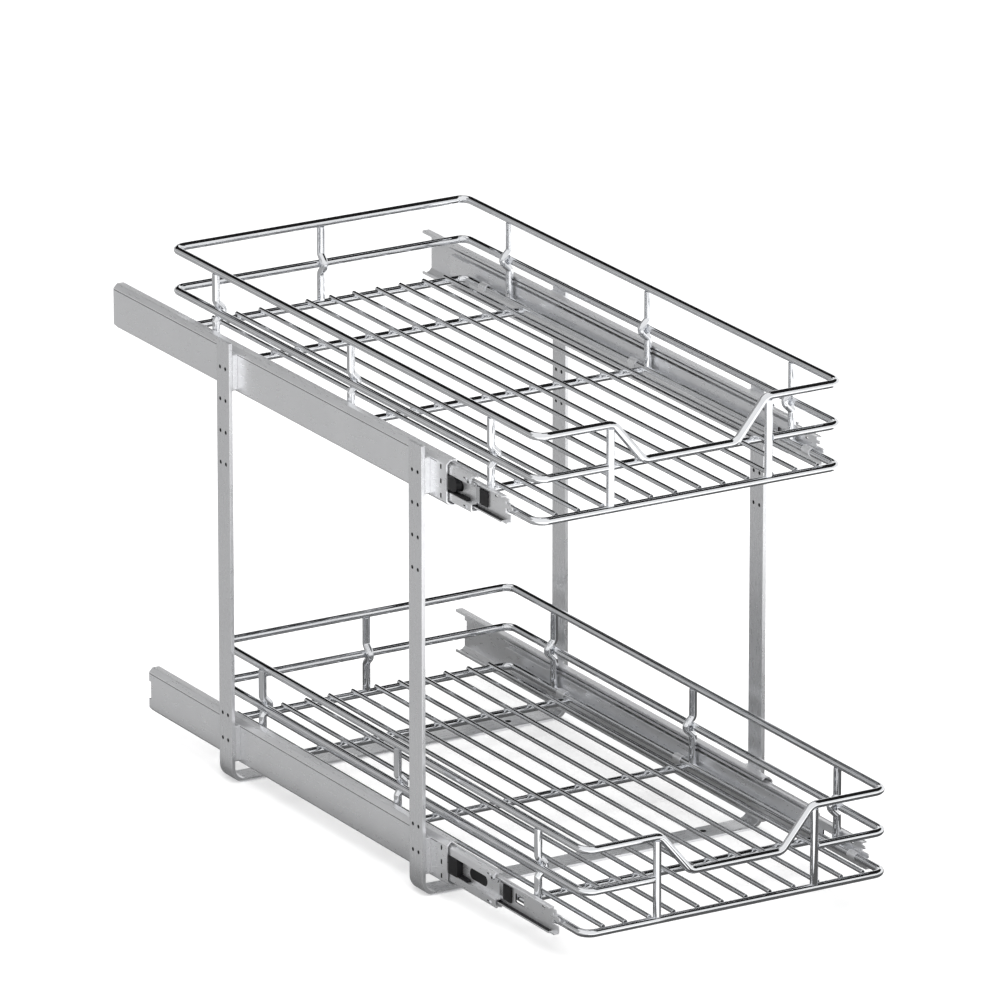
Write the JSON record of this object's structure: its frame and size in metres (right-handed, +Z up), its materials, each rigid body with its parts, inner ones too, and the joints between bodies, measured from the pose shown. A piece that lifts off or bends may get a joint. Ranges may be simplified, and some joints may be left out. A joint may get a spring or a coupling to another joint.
{
  "type": "pull out cabinet basket",
  "caption": "Chromed wire baskets, one above the other, that pull out of a cabinet on ball-bearing slides held by U-shaped flat-bar frames.",
  "frame": {"origin": "on the cabinet floor, in the middle of the four floor-screw holes", "axes": "+X to the right as seen from the front, +Y back into the cabinet, +Z up; the baskets pull out along -Y"},
  "size_m": [0.296, 0.678, 0.392],
  "materials": {
    "chrome_wire": "polished",
    "satin_bar": "satin",
    "zinc_slide": "satin",
    "dark_strip": "satin",
    "black_plastic": "matte",
    "bright_steel": "polished"
  },
  "bodies": {
    "frame": {"frame_front": "satin_bar", "frame_rear": "satin_bar", "upper_spacers": "satin_bar", "lower_spacers": "satin_bar", "upper_rail_screws": "bright_steel", "lower_rail_screws": "bright_steel", "upper_left_outer_rail": "zinc_slide", "upper_right_outer_rail": "zinc_slide", "lower_left_outer_rail": "zinc_slide", "lower_right_outer_rail": "zinc_slide", "upper_front_stops": "black_plastic", "lower_front_stops": "black_plastic"},
    "upper_basket": {"upper_left_inner_rail": "zinc_slide", "upper_right_inner_rail": "zinc_slide", "upper_rim_hooks": "zinc_slide", "upper_top_rim": "chrome_wire", "upper_mid_rim": "chrome_wire", "upper_bottom_rim": "chrome_wire", "upper_uprights": "chrome_wire", "upper_floor": "chrome_wire", "upper_cross_wires": "chrome_wire"},
    "upper_left_mid_slide": {"upper_left_mid_rail": "zinc_slide", "upper_left_latch": "black_plastic", "upper_left_bumper": "black_plastic"},
    "upper_left_outer_ball_cage": {"upper_left_outer_cage": "dark_strip", "upper_left_outer_balls": "bright_steel"},
    "upper_left_inner_ball_cage": {"upper_left_inner_cage": "dark_strip", "upper_left_inner_balls": "bright_steel"},
    "upper_right_mid_slide": {"upper_right_mid_rail": "zinc_slide", "upper_right_latch": "black_plastic", "upper_right_bumper": "black_plastic"},
    "upper_right_outer_ball_cage": {"upper_right_outer_cage": "dark_strip", "upper_right_outer_balls": "bright_steel"},
    "upper_right_inner_ball_cage": {"upper_right_inner_cage": "dark_strip", "upper_right_inner_balls": "bright_steel"},
    "lower_basket": {"lower_left_inner_rail": "zinc_slide", "lower_right_inner_rail": "zinc_slide", "lower_rim_hooks": "zinc_slide", "lower_top_rim": "chrome_wire", "lower_mid_rim": "chrome_wire", "lower_bottom_rim": "chrome_wire", "lower_uprights": "chrome_wire", "lower_floor": "chrome_wire", "lower_cross_wires": "chrome_wire"},
    "lower_left_mid_slide": {"lower_left_mid_rail": "zinc_slide", "lower_left_latch": "black_plastic", "lower_left_bumper": "black_plastic"},
    "lower_left_outer_ball_cage": {"lower_left_outer_cage": "dark_strip", "lower_left_outer_balls": "bright_steel"},
    "lower_left_inner_ball_cage": {"lower_left_inner_cage": "dark_strip", "lower_left_inner_balls": "bright_steel"},
    "lower_right_mid_slide": {"lower_right_mid_rail": "zinc_slide", "lower_right_latch": "black_plastic", "lower_right_bumper": "black_plastic"},
    "lower_right_outer_ball_cage": {"lower_right_outer_cage": "dark_strip", "lower_right_outer_balls": "bright_steel"},
    "lower_right_inner_ball_cage": {"lower_right_inner_cage": "dark_strip", "lower_right_inner_balls": "bright_steel"}
  },
  "joints": [
    {"name": "upper_basket_slide", "type": "slide", "parent": "frame", "child": "upper_basket", "axis": [0, -1, 0], "range_m": [-0.071, 0.429]},
    {"name": "upper_left_mid_slide_travel", "type": "slide", "parent": "frame", "child": "upper_left_mid_slide", "axis": [0, -1, 0], "range_m": [-0.036, 0.215]},
    {"name": "upper_left_outer_ball_cage_travel", "type": "slide", "parent": "frame", "child": "upper_left_outer_ball_cage", "axis": [0, -1, 0], "range_m": [-0.01825, 0.10775]},
    {"name": "upper_left_inner_ball_cage_travel", "type": "slide", "parent": "frame", "child": "upper_left_inner_ball_cage", "axis": [0, -1, 0], "range_m": [-0.05375, 0.32225]},
    {"name": "upper_right_mid_slide_travel", "type": "slide", "parent": "frame", "child": "upper_right_mid_slide", "axis": [0, -1, 0], "range_m": [-0.036, 0.215]},
    {"name": "upper_right_outer_ball_cage_travel", "type": "slide", "parent": "frame", "child": "upper_right_outer_ball_cage", "axis": [0, -1, 0], "range_m": [-0.01825, 0.10775]},
    {"name": "upper_right_inner_ball_cage_travel", "type": "slide", "parent": "frame", "child": "upper_right_inner_ball_cage", "axis": [0, -1, 0], "range_m": [-0.05375, 0.32225]},
    {"name": "lower_basket_slide", "type": "slide", "parent": "frame", "child": "lower_basket", "axis": [0, -1, 0], "range_m": [-0.138, 0.312]},
    {"name": "lower_left_mid_slide_travel", "type": "slide", "parent": "frame", "child": "lower_left_mid_slide", "axis": [0, -1, 0], "range_m": [-0.0695, 0.1565]},
    {"name": "lower_left_outer_ball_cage_travel", "type": "slide", "parent": "frame", "child": "lower_left_outer_ball_cage", "axis": [0, -1, 0], "range_m": [-0.035, 0.0785]},
    {"name": "lower_left_inner_ball_cage_travel", "type": "slide", "parent": "frame", "child": "lower_left_inner_ball_cage", "axis": [0, -1, 0], "range_m": [-0.104, 0.2345]},
    {"name": "lower_right_mid_slide_travel", "type": "slide", "parent": "frame", "child": "lower_right_mid_slide", "axis": [0, -1, 0], "range_m": [-0.0695, 0.1565]},
    {"name": "lower_right_outer_ball_cage_travel", "type": "slide", "parent": "frame", "child": "lower_right_outer_ball_cage", "axis": [0, -1, 0], "range_m": [-0.035, 0.0785]},
    {"name": "lower_right_inner_ball_cage_travel", "type": "slide", "parent": "frame", "child": "lower_right_inner_ball_cage", "axis": [0, -1, 0], "range_m": [-0.104, 0.2345]}
  ],
  "couplings": [
    {"joint": "upper_left_mid_slide_travel", "follows": "upper_basket_slide", "ratio": 0.5},
    {"joint": "upper_left_outer_ball_cage_travel", "follows": "upper_basket_slide", "ratio": 0.25},
    {"joint": "upper_left_inner_ball_cage_travel", "follows": "upper_basket_slide", "ratio": 0.75},
    {"joint": "upper_right_mid_slide_travel", "follows": "upper_basket_slide", "ratio": 0.5},
    {"joint": "upper_right_outer_ball_cage_travel", "follows": "upper_basket_slide", "ratio": 0.25},
    {"joint": "upper_right_inner_ball_cage_travel", "follows": "upper_basket_slide", "ratio": 0.75},
    {"joint": "lower_left_mid_slide_travel", "follows": "lower_basket_slide", "ratio": 0.5},
    {"joint": "lower_left_outer_ball_cage_travel", "follows": "lower_basket_slide", "ratio": 0.25},
    {"joint": "lower_left_inner_ball_cage_travel", "follows": "lower_basket_slide", "ratio": 0.75},
    {"joint": "lower_right_mid_slide_travel", "follows": "lower_basket_slide", "ratio": 0.5},
    {"joint": "lower_right_outer_ball_cage_travel", "follows": "lower_basket_slide", "ratio": 0.25},
    {"joint": "lower_right_inner_ball_cage_travel", "follows": "lower_basket_slide", "ratio": 0.75}
  ]
}
